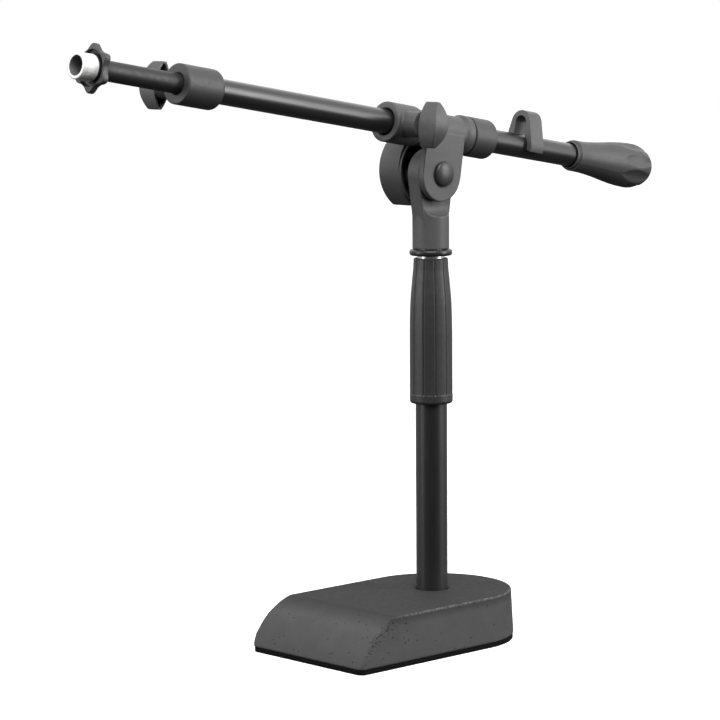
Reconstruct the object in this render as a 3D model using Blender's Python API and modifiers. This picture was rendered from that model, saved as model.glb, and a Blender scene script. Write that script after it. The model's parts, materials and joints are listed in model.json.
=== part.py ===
"""Boom microphone stand with a cast base, a telescoping column and a tilting, telescoping boom.

Frame: origin on the column's axis at the underside of the base pad, +Z up, +X towards the boom's tip.
Lengths are in millimetres and become metres where a mesh or a place is set.
"""

import math

import bmesh
import bpy
from mathutils import Matrix, Vector

MM = 0.001
GAP = 0.3  # clearance between touching pieces
LARGE = 32  # facets around a large turned piece
SMALL = 20  # facets around a small one
SHARP = math.radians(35)  # edges sharper than this are shaded as edges

# Base
BASE_HALF_TOP = 48.6
BASE_DRAFT = 1.6
BASE_REAR_X = -2.5
BASE_FRONT_X = 109.0
BASE_TOP_Z = 32.0
PAD_TOP_Z = 2.6
NOSE_RADIUS = 42.0
NOSE_TOP_X = 78.0
NOSE_TOP_SLOPE = math.radians(13.0)
SOCKET_FLOOR_Z = 20.0
RECESS_TOP_Z = 11.7

# Column
POST_R = 10.0
POST_BORE_R = 8.8
POST_TOP_Z = 221.0
SLIDE_TUBE_R = 8.5
SLIDE_TUBE_BORE_R = 7.2
SLIDE_TUBE_FOOT_Z = 56.0
SLIDE_TUBE_TOP_Z = 262.0
GRIP_FOOT_Z = 150.5
GRIP_TOP_Z = 243.0
GRIP_FLATS = 11
GRIP_TURN = math.radians(57)
STOP_RING_R = 13.5
STOP_RING_FOOT_Z = 244.5
STOP_RING_TOP_Z = 248.5
NECK_R = 11.6
NECK_TOP_Z = 276.0
PIVOT_Z = 296.0
YOKE_EAR_R = 15.4
YOKE_EAR_HALF = 5.2
SCOOP_R = 6.4
BOLT_R = 4.0
BOLT_HOLE_R = 4.3

# Boom: distances along it are from the point nearest the tilt pivot
BOOM_TILT = math.radians(9.32)
BOOM_OFFSET = 26.9
TUBE_R = 7.55
TUBE_BORE_R = 6.3
TUBE_REAR = -150.0
TUBE_FRONT = 210.0
INNER_R = 6.0
INNER_BORE_R = 4.9
INNER_REAR = 56.0
INNER_FRONT = 274.0
CLAMP_R = 12.6
CLAMP_WAIST_R = 11.1
CLAMP_BORE_R = 9.3
CLAMP_FRONT = 44.8
CLAMP_REAR = -24.6
CLAMP_SPIGOT_R = 10.4
CLAMP_SPIGOT_REAR = -36.0
COLLAR_REAR = -44.1
CLAMP_EAR_R = 16.6
CLAMP_EAR_SHIFT = 0.8
CLAMP_EAR_NEAR = 6.8
CLAMP_EAR_FAR = 11.3
CLAMP_SCREW_AT = 33.6
CLAMP_BOSS_END = 24.0
SLEEVE_R = 12.1
SLEEVE_REAR = 185.7
SLEEVE_FRONT = 213.7
SLEEVE_SCREW_AT = 202.5
SLEEVE_BOSS_END = 25.5
BOSS_R = 8.0
SCREW_R = 2.9
SCREW_HOLE_R = 3.2
WING_DEEP = 14.7
WING_LENS = (5.9, 14.2, 1.4)
WING_WALL = 1.6
WING_FACE_WALL = 2.4
WING_HUB_R = 4.6
WING_CROWN_R = 22.7
TENSION_LENS = (15.7, 20.1, 7.0)
TENSION_RIM = (15.4, 18.5, 6.0)
TENSION_CAVITY = (13.8, 16.9, 4.6)
TENSION_TURN = math.radians(8.6)
TIP_R = 7.94
TIP_FACE = 288.1
TIP_HUB_REAR = 272.0
TIP_SPIGOT_REAR = 262.0
NUT_REAR = 272.6
NUT_FRONT = 277.2
NUT_LOBES = 6
WEIGHT_LIP = -124.6
WEIGHT_BULGE = -183.0
WEIGHT_END = -202.1
WEIGHT_R = 14.8
WEIGHT_BORE_R = 7.9
FLUTES = 8
FLUTE_TURN = 0.32  # of the pitch between two flutes
CLIP_REAR = -88.4
CLIP_FRONT = -77.4
CLIP_SEAT_THICK = 3.6
CLIP_LOOP_THICK = 3.1
CLIP_LOOP_R = 7.1
CLIP_RISE = 15.0
CLIP_MOUTH = math.radians(72.0)

FINISHES = {
    "cast_iron_black": ((0.045, 0.045, 0.047), 0.72, 0.2),
    "clamp_black": ((0.06, 0.06, 0.062), 0.6, 0.2),
    "rubber_black": ((0.012, 0.012, 0.012), 0.85, 0.0),
    "tube_black": ((0.02, 0.02, 0.021), 0.32, 0.4),
    "plastic_black": ((0.05, 0.05, 0.052), 0.5, 0.0),
    "grip_black": ((0.03, 0.03, 0.031), 0.6, 0.0),
    "chrome": ((0.75, 0.75, 0.76), 0.12, 1.0),
    "nickel": ((0.8, 0.8, 0.8), 0.25, 1.0),
    "zinc_steel": ((0.45, 0.46, 0.48), 0.35, 1.0),
    "nylon": ((0.03, 0.03, 0.03), 0.5, 0.0),
    "brass": ((0.7, 0.5, 0.22), 0.35, 1.0),
}

for old in list(bpy.data.objects):
    bpy.data.objects.remove(old, do_unlink=True)

STAND = bpy.data.collections.new("boom_microphone_stand")
CUTTERS = bpy.data.collections.new("cutters")
for collection in (STAND, CUTTERS):
    bpy.context.scene.collection.children.link(collection)


# ---------------------------------------------------------------- frames and finishes


def empty(name, place=(0, 0, 0), turn_y=0.0, parent=None):
    frame = bpy.data.objects.new(name, None)
    frame.location = Vector(place) * MM
    frame.rotation_euler = (0, turn_y, 0)
    frame.parent = parent
    STAND.objects.link(frame)
    return frame


PIVOT = empty("pivot_frame", (0, 0, PIVOT_Z))
# The boom frame has Z along the boom, Y across it, and X down, square to both.
BOOM_ROOT = (-BOOM_OFFSET * math.sin(BOOM_TILT), 0, BOOM_OFFSET * math.cos(BOOM_TILT))
BOOM = empty("boom_frame", BOOM_ROOT, math.pi / 2 - BOOM_TILT, PIVOT)


def finish_material(name):
    material = bpy.data.materials.get(name)
    if material is None:
        colour, roughness, metallic = FINISHES[name]
        material = bpy.data.materials.new(name)
        material.use_nodes = True
        shader = material.node_tree.nodes["Principled BSDF"]
        shader.inputs["Base Color"].default_value = (*colour, 1.0)
        shader.inputs["Roughness"].default_value = roughness
        shader.inputs["Metallic"].default_value = metallic
    return material


def add(name, mesh, finish, parent):
    """Puts the mesh in the stand or, where it has no finish, among the cutters."""
    piece = bpy.data.objects.new(name, mesh)
    piece.parent = parent
    if finish is None:
        CUTTERS.objects.link(piece)
        piece.hide_render = True
        piece.display_type = "WIRE"
    else:
        mesh.materials.append(finish_material(finish))
        STAND.objects.link(piece)
    return piece


# ---------------------------------------------------------------- shapes


def arc(centre, radius, start, end, steps):
    """Points on an arc, angles in radians, both ends included."""
    turn = (end - start) / steps
    angles = [start + turn * i for i in range(steps + 1)]
    return [(centre[0] + radius * math.cos(a), centre[1] + radius * math.sin(a)) for a in angles]


def mesh_from(shape, name):
    """Turns a bmesh into a mesh, shaded smooth except across sharp edges."""
    mesh = bpy.data.meshes.new(name)
    shape.to_mesh(mesh)
    shape.free()
    mesh.shade_smooth()
    mesh.set_sharp_from_angle(angle=SHARP)
    return mesh


def turned(name, profile, finish, parent=None, hollow=False, facets=LARGE):
    """Turns (radius, height) points about Z. A hollow profile is a loop, down outside and up inside."""
    edges = [(i, i + 1) for i in range(len(profile) - 1)]
    if hollow:
        edges.append((len(profile) - 1, 0))
    mesh = bpy.data.meshes.new(name)
    mesh.from_pydata([(r * MM, 0, z * MM) for r, z in profile], edges, [])
    piece = add(name, mesh, finish, parent)
    screw = piece.modifiers.new("turn", "SCREW")
    screw.axis = "Z"
    screw.steps = screw.render_steps = facets
    screw.use_merge_vertices = True
    screw.merge_threshold = 0.00001
    screw.use_smooth_shade = True
    return piece


def ring(name, outer_r, inner_r, low, high, finish, parent=None, facets=LARGE):
    """A plain tube or washer."""
    profile = [(outer_r, high), (outer_r, low), (inner_r, low), (inner_r, high)]
    return turned(name, profile, finish, parent, True, facets)


def rod(name, radius, low, high, finish=None, parent=None, facets=SMALL):
    """A plain cylinder along Z."""
    shape = bmesh.new()
    size = {"radius1": radius * MM, "radius2": radius * MM, "depth": (high - low) * MM}
    bmesh.ops.create_cone(shape, cap_ends=True, segments=facets, **size)
    shape.transform(Matrix.Translation((0, 0, (low + high) / 2 * MM)))
    return add(name, mesh_from(shape, name), finish, parent)


def along_y(piece, x=0.0, z=0.0):
    """Lays a piece turned about Z along Y, through the point (x, z) of its parent's frame."""
    piece.rotation_euler = (-math.pi / 2, 0, 0)
    piece.location = Vector((x, 0, z)) * MM
    return piece


def loft(name, rings, finish, parent=None):
    """Skins closed rings with equally many points, and caps both ends."""
    shape = bmesh.new()
    rows = [[shape.verts.new(Vector(point) * MM) for point in points] for points in rings]
    for low, high in zip(rows, rows[1:]):
        for i in range(len(low)):
            j = (i + 1) % len(low)
            shape.faces.new((low[i], low[j], high[j], high[i]))
    shape.faces.new(rows[0])
    shape.faces.new(rows[-1])
    bmesh.ops.recalc_face_normals(shape, faces=shape.faces)
    return add(name, mesh_from(shape, name), finish, parent)


def shrunk(outline, step):
    """Moves a convex outline's points towards its middle by step."""
    middle = sum((Vector(point) for point in outline), Vector((0, 0))) / len(outline)
    moved = []
    for point in outline:
        away = Vector(point) - middle
        moved.append(middle + away * (1 - step / away.length))
    return moved


def plate(name, outline, low, high, finish, parent=None, edge=0.5):
    """A convex outline of (x, z) points, thick along Y from low to high, with broken edges."""
    layers = ((low, edge), (low + edge, 0.0), (high - edge, 0.0), (high, edge))
    rings = [[(x, y, z) for x, z in shrunk(outline, step)] for y, step in layers]
    return loft(name, rings, finish, parent)


def block(name, corner, opposite, parent=None):
    """A box-shaped cutter between two corners."""
    shape = bmesh.new()
    bmesh.ops.create_cube(shape, size=1.0)
    size = Vector(opposite) - Vector(corner)
    middle = (Vector(opposite) + Vector(corner)) / 2
    shape.transform(Matrix.LocRotScale(middle * MM, None, size * MM))
    return add(name, mesh_from(shape, name), None, parent)


def boolean(piece, other, operation="DIFFERENCE"):
    modifier = piece.modifiers.new(operation.lower(), "BOOLEAN")
    modifier.operation = operation
    modifier.object = other


def bevelled(piece, width, segments=2):
    bevel = piece.modifiers.new("edges", "BEVEL")
    bevel.width = width * MM
    bevel.segments = segments
    bevel.limit_method = "ANGLE"
    bevel.angle_limit = math.radians(40)


# ---------------------------------------------------------------- base


def base_outline(half, front, z, corner=4.0):
    """A rectangle with small front corners and a half-round rear end."""
    points = arc((front - corner, corner - half), corner, -math.pi / 2, 0, 3)
    points += arc((front - corner, half - corner), corner, 0, math.pi / 2, 3)
    points += arc((BASE_REAR_X, 0), half, math.pi / 2, 3 * math.pi / 2, 28)
    return [(x, y, z) for x, y in points]


def nose_profile(low):
    """The base's side view: a flat top that rolls over into the sloping front."""
    centre_x = NOSE_TOP_X - NOSE_RADIUS * math.sin(NOSE_TOP_SLOPE)
    centre_z = BASE_TOP_Z - NOSE_RADIUS * math.cos(NOSE_TOP_SLOPE)
    foot = math.asin((low - centre_z) / NOSE_RADIUS)
    nose = arc((centre_x, centre_z), NOSE_RADIUS, foot, math.pi / 2 - NOSE_TOP_SLOPE, 9)
    above = BASE_TOP_Z + 1.0
    return [(-70, low)] + nose + [(NOSE_TOP_X - 5, above), (-70, above)]


def make_base():
    low = PAD_TOP_Z + GAP
    foot_half = BASE_HALF_TOP + BASE_DRAFT
    outlines = [
        base_outline(foot_half, BASE_FRONT_X, low),
        base_outline(BASE_HALF_TOP, BASE_FRONT_X, BASE_TOP_Z),
    ]
    casting = loft("base_casting", outlines, "cast_iron_black")
    boolean(casting, plate("nose_keeper", nose_profile(low - 1), -70, 70, None), "INTERSECT")
    bevelled(casting, 1.2)
    stepped = [(0, 40), (POST_R + GAP, 40), (POST_R + GAP, SOCKET_FLOOR_Z), (BOLT_HOLE_R, SOCKET_FLOOR_Z)]
    stepped += [(BOLT_HOLE_R, RECESS_TOP_Z), (13, RECESS_TOP_Z), (13, -5), (0, -5)]
    boolean(casting, turned("base_bore", stepped, None))
    pad = [base_outline(foot_half - 1.2, BASE_FRONT_X - 1, z) for z in (0, PAD_TOP_Z)]
    loft("base_pad", pad, "rubber_black")


def make_foot_bolt():
    bolt = rod("foot_bolt", 7.5, 4.2, 9.4, "zinc_steel", facets=6)
    boolean(bolt, rod("foot_bolt_shank", BOLT_R, 9.0, 33.0), "UNION")
    ring("foot_washer", 11, BOLT_HOLE_R + 0.1, 9.7, 11.4, "zinc_steel", facets=SMALL)
    ring("foot_plug", POST_BORE_R - GAP, BOLT_HOLE_R, SOCKET_FLOOR_Z + GAP, 34, "zinc_steel", facets=SMALL)


# ---------------------------------------------------------------- column


def make_post():
    ring("post_tube", POST_R, POST_BORE_R, SOCKET_FLOOR_Z + GAP, POST_TOP_Z, "tube_black")
    ring("clutch_bush", 11.3, POST_R + GAP, 168, 206, "zinc_steel")
    foot = POST_TOP_Z + GAP
    profile = [(9.4, 238), (10.3, 226), (10.3, foot), (POST_BORE_R, foot), (POST_BORE_R, 238)]
    collet = turned("clutch_collet", profile, "nylon", hollow=True)
    boolean(collet, block("collet_slot_x", (-12, -0.6, 226), (12, 0.6, 240)))
    boolean(collet, block("collet_slot_y", (-0.6, -12, 226), (0.6, 12, 240)))


def make_grip():
    """The column clutch's turning sleeve, with a shallow groove between each two flats."""
    outside = [
        (10.3, GRIP_TOP_Z),
        (11.1, 242.2),
        (11.3, 236),
        (12.0, 226),
        (12.95, 214),
        (13.3, 198),
        (13.3, 158),
        (13.5, 154.5),
        (13.5, 151.5),
        (12.6, GRIP_FOOT_Z),
    ]
    inside = [(11.6, GRIP_FOOT_Z), (11.6, 208), (10.6, 212), (10.6, 227), (9.7, 238.3), (8.9, 239.2)]
    inside.append((8.9, GRIP_TOP_Z))
    grip = turned("column_clutch_grip", outside + inside, "grip_black", hollow=True)
    for i in range(GRIP_FLATS):
        groove = block(f"grip_groove_{i}", (12.4, -0.45, 158), (16, 0.45, 219))
        groove.rotation_euler.z = GRIP_TURN + 2 * math.pi * i / GRIP_FLATS
        boolean(grip, groove)


def make_slide_tube():
    foot, top = SLIDE_TUBE_FOOT_Z, SLIDE_TUBE_TOP_Z
    ring("column_slide_tube", SLIDE_TUBE_R, SLIDE_TUBE_BORE_R, foot, top, "chrome")
    spigot_r = SLIDE_TUBE_BORE_R - GAP
    profile = [(spigot_r, foot + 10), (spigot_r, foot - GAP), (SLIDE_TUBE_R, foot - GAP)]
    profile += [(SLIDE_TUBE_R, foot - 4), (4.5, foot - 4), (4.5, foot + 10)]
    turned("column_guide_bush", profile, "nylon", hollow=True, facets=SMALL)
    heights = (STOP_RING_FOOT_Z, STOP_RING_TOP_Z)
    ring("column_stop_ring", STOP_RING_R, SLIDE_TUBE_R + GAP, *heights, "plastic_black")


def yoke_ear_outline():
    """A disc about the pivot, with sides tangent to it that run down into the neck."""
    foot_x = NECK_R - 0.2
    foot_z = SLIDE_TUBE_TOP_Z + 3
    reach = math.hypot(foot_x, PIVOT_Z - foot_z)
    touch = math.atan2(foot_z - PIVOT_Z, foot_x) + math.acos(YOKE_EAR_R / reach)
    disc = arc((0, PIVOT_Z), YOKE_EAR_R, touch, math.pi - touch, 24)
    return disc + [(-foot_x, foot_z), (foot_x, foot_z)]


def make_yoke():
    low = STOP_RING_TOP_Z + GAP
    bore_r = SLIDE_TUBE_R + GAP
    bore_top = SLIDE_TUBE_TOP_Z + 1
    neck = [(0, NECK_TOP_Z), (NECK_R, NECK_TOP_Z), (NECK_R, low + 0.8), (NECK_R - 0.8, low)]
    yoke = turned("swivel_yoke", neck + [(bore_r, low), (bore_r, bore_top), (0, bore_top)], "clamp_black")
    boolean(yoke, plate("yoke_ear", yoke_ear_outline(), -YOKE_EAR_HALF, YOKE_EAR_HALF, None), "UNION")
    for side in (-1, 1):
        scoop = rod(f"yoke_scoop_{side + 1}", SCOOP_R, -20, 20)
        scoop.rotation_euler.y = math.pi / 2
        scoop.location = Vector((0, side * (YOKE_EAR_HALF + SCOOP_R), NECK_TOP_Z)) * MM
        boolean(yoke, scoop)
    boolean(yoke, along_y(rod("yoke_pivot_hole", BOLT_HOLE_R, -20, 20), z=PIVOT_Z))


# ---------------------------------------------------------------- tilt pivot


def lens(half_wide, half_tall, end_half, steps=10):
    """A pointed oval with cut-off ends, tall along its second axis."""
    bulge = half_wide - end_half
    radius = (half_tall**2 + bulge**2) / (2 * bulge)
    spread = math.asin(half_tall / radius)
    right = arc((half_wide - radius, 0), radius, -spread, spread, steps)
    return right + [(-x, -z) for x, z in right]


def make_pivot():
    dome = [(0, 15.2), (2.8, 14.9), (5.4, 14.1), (7.2, 13.0), (8.0, 12.2), (8.0, 11.6)]
    bolt = dome + [(BOLT_R, 11.6), (BOLT_R, -22.0), (0, -22.0)]
    along_y(turned("pivot_bolt", bolt, "tube_black", PIVOT, facets=SMALL))
    along_y(ring("tilt_friction_disc", 13.0, BOLT_HOLE_R, 5.5, 6.5, "nylon", PIVOT))
    along_y(ring("tension_spring_washer", 8.0, BOLT_HOLE_R, -6.9, -5.5, "zinc_steel", PIVOT, facets=SMALL))
    make_tension_knob()
    nut = along_y(rod("tension_nut", 6.3, -18, -10, "brass", PIVOT, facets=6))
    boolean(nut, along_y(rod("tension_nut_hole", BOLT_HOLE_R, -20, -8, parent=PIVOT)))


def make_tension_knob():
    """A wide hollow-backed knob with a stepped rim behind it and a hub for the nut."""

    def turned_plate(name, sizes, low, high, finish=None, edge=0.5):
        cos, sin = math.cos(TENSION_TURN), math.sin(TENSION_TURN)
        outline = [(x * cos + z * sin, z * cos - x * sin) for x, z in lens(*sizes)]
        return plate(name, outline, low, high, finish, PIVOT, edge)

    knob = turned_plate("tension_knob", TENSION_LENS, -30.5, -12.4, "plastic_black", edge=1.2)
    boolean(knob, turned_plate("tension_knob_rim", TENSION_RIM, -16, -10.5), "UNION")
    boolean(knob, turned_plate("tension_knob_cavity", TENSION_CAVITY, -27, -8))
    boolean(knob, along_y(rod("tension_knob_hub", 9.5, -28, -7.2, parent=PIVOT)), "UNION")
    boolean(knob, along_y(rod("tension_knob_bore", 6.7, -24, -5, parent=PIVOT)))


# ---------------------------------------------------------------- boom clamp


def clamp_ear_outline():
    """Rounded near the pivot, with straight sides up to the boom's axis, in (down, along) points."""
    middle = CLAMP_EAR_SHIFT
    round_end = arc((BOOM_OFFSET + middle, middle), CLAMP_EAR_R, -math.pi / 2, math.pi / 2, 20)
    top = 1.5
    return round_end + [(top, middle + CLAMP_EAR_R), (top, middle - CLAMP_EAR_R)]


def make_clamp():
    profile = [
        (0, CLAMP_FRONT),
        (CLAMP_R - 1, CLAMP_FRONT),
        (CLAMP_R, CLAMP_FRONT - 1),
        (CLAMP_R, 22.4),
        (CLAMP_WAIST_R, 17.9),
        (CLAMP_WAIST_R, -17.2),
        (CLAMP_R, -19.6),
        (CLAMP_R, CLAMP_REAR),
        (CLAMP_SPIGOT_R, CLAMP_REAR),
        (CLAMP_SPIGOT_R, CLAMP_SPIGOT_REAR),
        (0, CLAMP_SPIGOT_REAR),
    ]
    clamp = turned("boom_clamp", profile, "clamp_black", BOOM)
    ear = plate("clamp_ear", clamp_ear_outline(), CLAMP_EAR_NEAR, CLAMP_EAR_FAR, None, BOOM)
    boolean(ear, along_y(rod("clamp_pivot_hole", BOLT_HOLE_R, 0, 20, parent=BOOM), x=BOOM_OFFSET))
    boolean(clamp, ear, "UNION")
    boss = rod("clamp_boss", BOSS_R, 6, CLAMP_BOSS_END, parent=BOOM, facets=32)
    boolean(clamp, along_y(boss, z=CLAMP_SCREW_AT), "UNION")
    boolean(clamp, rod("clamp_bore", CLAMP_BORE_R, -60, 60, parent=BOOM, facets=LARGE))
    hole = rod("clamp_screw_hole", SCREW_HOLE_R, 4, 30, parent=BOOM)
    boolean(clamp, along_y(hole, z=CLAMP_SCREW_AT))


def make_clamp_fittings():
    front = CLAMP_REAR - 0.4
    step = CLAMP_SPIGOT_REAR - 0.4
    inner_r = CLAMP_SPIGOT_R + GAP
    profile = [
        (CLAMP_R - 0.4, front),
        (CLAMP_R, front - 0.4),
        (CLAMP_R, COLLAR_REAR + 1.2),
        (CLAMP_R - 1.2, COLLAR_REAR),
        (CLAMP_BORE_R, COLLAR_REAR),
        (CLAMP_BORE_R, step),
        (inner_r, step),
        (inner_r, front),
    ]
    turned("clamp_end_collar", profile, "plastic_black", BOOM, hollow=True)
    liner = ring("clamp_liner", CLAMP_BORE_R - GAP, TUBE_R + GAP, -43, 43.6, "nylon", BOOM)
    boolean(liner, block("liner_slit", (6, -0.6, -50), (11, 0.6, 50), BOOM))
    shoe = rod("clamp_shoe", SCREW_R, CLAMP_BORE_R + 0.1, 12.2, "brass", BOOM)
    along_y(shoe, z=CLAMP_SCREW_AT)


def make_wing_screw(prefix, at, side, boss_end, screw_tip):
    """A hollow-backed wing knob moulded on its screw, on the boom's +Y or -Y side."""

    def span(start, end):
        return sorted((side * start, side * end))

    def outline(wall=0.0):
        wide, tall, end = WING_LENS
        shape = lens(wide - wall, tall - 1.6 * wall, end - wall / 2)
        return [(down, along + at) for along, down in shape]

    def crown(name, less=0.0):
        drum = rod(name, WING_CROWN_R - less, at - 8, at + 8, parent=BOOM, facets=64)
        drum.location.y = side * (face + 0.05 - WING_CROWN_R) * MM
        return drum

    near = boss_end + 0.5
    face = near + WING_DEEP
    screw_end = near + 10
    knob = plate(f"{prefix}_wing_knob", outline(), *span(near, face), "plastic_black", BOOM, edge=1.0)
    boolean(knob, crown(f"{prefix}_wing_crown"), "INTERSECT")
    cavity = plate(
        f"{prefix}_wing_cavity",
        outline(WING_WALL),
        *span(near - 2, face - WING_FACE_WALL + 0.5),
        None,
        BOOM,
        edge=0.3,
    )
    boolean(cavity, crown(f"{prefix}_wing_floor", WING_FACE_WALL), "INTERSECT")
    boolean(knob, cavity)
    hub = rod(f"{prefix}_wing_hub", WING_HUB_R, *span(near + 0.4, face - 1), parent=BOOM)
    boolean(knob, along_y(hub, z=at), "UNION")
    hole = rod(f"{prefix}_wing_hole", SCREW_HOLE_R, *span(near - 5, screw_end + GAP), parent=BOOM)
    boolean(knob, along_y(hole, z=at))
    screw = rod(f"{prefix}_screw", SCREW_R, *span(screw_tip, screw_end), "zinc_steel", BOOM)
    along_y(screw, z=at)


# ---------------------------------------------------------------- boom


def make_outer_tube():
    tube = ring("boom_outer_tube", TUBE_R, TUBE_BORE_R, TUBE_REAR, TUBE_FRONT, "tube_black", BOOM)
    window = rod("tube_screw_window", SCREW_HOLE_R, -12, -3, parent=BOOM)
    boolean(tube, along_y(window, z=SLEEVE_SCREW_AT))


def make_extension_sleeve():
    """The collar on the outer tube's end that grips the inner tube."""
    profile = [
        (0, SLEEVE_FRONT),
        (SLEEVE_R - 0.6, SLEEVE_FRONT),
        (SLEEVE_R, SLEEVE_FRONT - 0.6),
        (SLEEVE_R, SLEEVE_REAR + 1.5),
        (SLEEVE_R - 1.5, SLEEVE_REAR),
        (0, SLEEVE_REAR),
    ]
    sleeve = turned("extension_sleeve", profile, "clamp_black", BOOM)
    boss = rod("sleeve_boss", BOSS_R, -SLEEVE_BOSS_END, -6, parent=BOOM, facets=32)
    boolean(sleeve, along_y(boss, z=SLEEVE_SCREW_AT), "UNION")
    step = TUBE_FRONT + GAP
    outer_r, inner_r = TUBE_R + GAP, INNER_R + GAP
    bore = [(0, 230), (inner_r, 230), (inner_r, step), (outer_r, step), (outer_r, 170), (0, 170)]
    boolean(sleeve, turned("sleeve_bore", bore, None, BOOM))
    hole = rod("sleeve_screw_hole", SCREW_HOLE_R, -30, -4, parent=BOOM)
    boolean(sleeve, along_y(hole, z=SLEEVE_SCREW_AT))
    along_y(rod("extension_shoe", SCREW_R, -8.4, -6.4, "brass", BOOM), z=SLEEVE_SCREW_AT)


def make_inner_tube():
    ring("boom_inner_tube", INNER_R, INNER_BORE_R, INNER_REAR, INNER_FRONT, "tube_black", BOOM, facets=32)
    spigot_r = INNER_BORE_R - GAP
    seat = INNER_REAR - GAP
    profile = [(spigot_r, INNER_REAR + 10), (spigot_r, seat), (INNER_R, seat), (INNER_R, INNER_REAR - 4)]
    profile += [(3.0, INNER_REAR - 4), (3.0, INNER_REAR + 10)]
    turned("inner_guide_bush", profile, "nylon", BOOM, hollow=True, facets=SMALL)


def make_thread_adapter():
    """The threaded tip that a microphone holder screws onto, with a spigot inside the inner tube."""
    socket_r = INNER_R + GAP
    spigot_r = INNER_BORE_R - GAP
    socket_end = INNER_FRONT + GAP
    profile = [
        (5.8, TIP_FACE),
        (TIP_R - 0.8, TIP_FACE),
        (TIP_R, TIP_FACE - 0.8),
        (TIP_R, TIP_HUB_REAR),
        (socket_r, TIP_HUB_REAR),
        (socket_r, socket_end),
        (spigot_r, socket_end),
        (spigot_r, TIP_SPIGOT_REAR),
        (3.4, TIP_SPIGOT_REAR),
        (3.4, socket_end + 1.5),
        (5.8, socket_end + 3),
    ]
    turned("thread_adapter", profile, "nickel", BOOM, hollow=True)


def make_star_nut():
    """The lock nut behind a microphone holder: rounded lobes and a recessed face."""

    def star(z, less=0.0):
        steps = 12 * NUT_LOBES
        points = []
        for i in range(steps):
            turn = 2 * math.pi * i / steps
            lobe = (0.5 + 0.5 * math.cos(NUT_LOBES * turn)) ** 1.4
            radius = 11.6 + 2.8 * lobe - less
            points.append((radius * math.cos(turn), radius * math.sin(turn), z))
        return points

    rings = [star(NUT_REAR, 0.5), star(NUT_REAR + 0.5), star(NUT_FRONT - 0.5), star(NUT_FRONT, 0.5)]
    nut = loft("star_lock_nut", rings, "plastic_black", BOOM)
    floor = NUT_REAR + 1.6
    bore_r = TIP_R + GAP
    bore = [(0, 290), (10.7, 290), (10.7, floor), (bore_r, floor), (bore_r, 260), (0, 260)]
    boolean(nut, turned("nut_bore", bore, None, BOOM))


# ---------------------------------------------------------------- counterweight and cable clip


def make_counterweight():
    """A fluted grip moulded over a steel slug, pushed onto the boom's rear end."""
    flare = [(10.2, -136.5), (10.9, -145), (11.9, -153.5), (13.1, -161.5), (14.1, -169.5), (14.65, -177)]
    bulb_long = WEIGHT_BULGE - WEIGHT_END
    angles = [math.pi / 2 * i / 8 for i in range(9)]
    bulb = [(WEIGHT_R * math.cos(a), WEIGHT_BULGE - bulb_long * math.sin(a)) for a in angles[:-1]]
    socket = [(0, -191), (WEIGHT_BORE_R, -191), (WEIGHT_BORE_R, -131), (8.2, -131), (8.2, WEIGHT_LIP)]
    lip = [(8.7, WEIGHT_LIP), (9.1, WEIGHT_LIP - 0.4), (9.1, -127.2), (10.2, -127.8)]
    profile = socket + lip + flare + bulb + [(0, WEIGHT_END)]
    weight = turned("counterweight_grip", profile, "plastic_black", BOOM)
    for i in range(FLUTES):
        boolean(weight, flute_cutter(i, 2 * math.pi * (i + FLUTE_TURN) / FLUTES))
    core_r = WEIGHT_BORE_R - 0.4
    rod("counterweight_core", core_r, -190.5, TUBE_REAR - 0.5, "zinc_steel", BOOM)


def flute_cutter(number, turn):
    """A long ball that scoops a shallow hollow in the bulb, deeper towards the end."""
    shape = bmesh.new()
    bmesh.ops.create_uvsphere(shape, u_segments=16, v_segments=10, radius=1.0)
    size = Matrix.Diagonal((4.9 * MM, 4.9 * MM, 25 * MM, 1))
    lean = Matrix.Rotation(math.radians(10), 4, "Y")
    place = Matrix.Translation(Vector((17.4, 0, -198)) * MM)
    shape.transform(Matrix.Rotation(turn, 4, "Z") @ place @ lean @ size)
    name = f"flute_{number}"
    return add(name, mesh_from(shape, name), None, BOOM)


def clip_path(seat_r, loop_r):
    """From one lip of the clip's mouth round the loop to the other, in (up, across) points."""
    side = math.asin((seat_r - loop_r) / CLIP_RISE)
    start = -math.pi / 2 + CLIP_MOUTH
    near = arc((0, 0), seat_r, start, side, 7)
    loop = arc((0, CLIP_RISE), loop_r, side, math.pi - side, 14)
    far = arc((0, 0), seat_r, math.pi - side, math.pi - start, 7)
    return [(up, across) for across, up in near + loop + far]


def make_cable_clip():
    """A springy plastic loop that snaps onto the tube and holds the microphone's lead."""
    seat_r = TUBE_R + GAP
    outside = clip_path(seat_r + CLIP_SEAT_THICK, CLIP_LOOP_R)
    inside = clip_path(seat_r, CLIP_LOOP_R - CLIP_LOOP_THICK)
    outline = outside + inside[::-1]
    rings = [[(-up, across, z) for up, across in outline] for z in (CLIP_REAR, CLIP_FRONT)]
    loft("cable_clip", rings, "plastic_black", BOOM)


make_base()
make_foot_bolt()
make_post()
make_grip()
make_slide_tube()
make_yoke()
make_pivot()
make_clamp()
make_clamp_fittings()
make_wing_screw("clamp", CLAMP_SCREW_AT, 1, CLAMP_BOSS_END, 12.6)
make_outer_tube()
make_extension_sleeve()
make_wing_screw("extension", SLEEVE_SCREW_AT, -1, SLEEVE_BOSS_END, 8.8)
make_inner_tube()
make_thread_adapter()
make_star_nut()
make_counterweight()
make_cable_clip()
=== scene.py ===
"""The looks of the boom microphone stand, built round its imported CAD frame.

Shapes are drawn in millimetres in a frame of their own: the stand's, the tilt pivot's, or the
boom's, which has Z along the boom, Y across it and X down. build() turns them into metres and
puts them in place.
"""

import json
import math

import bmesh
import bpy
from mathutils import Matrix, Vector


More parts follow.
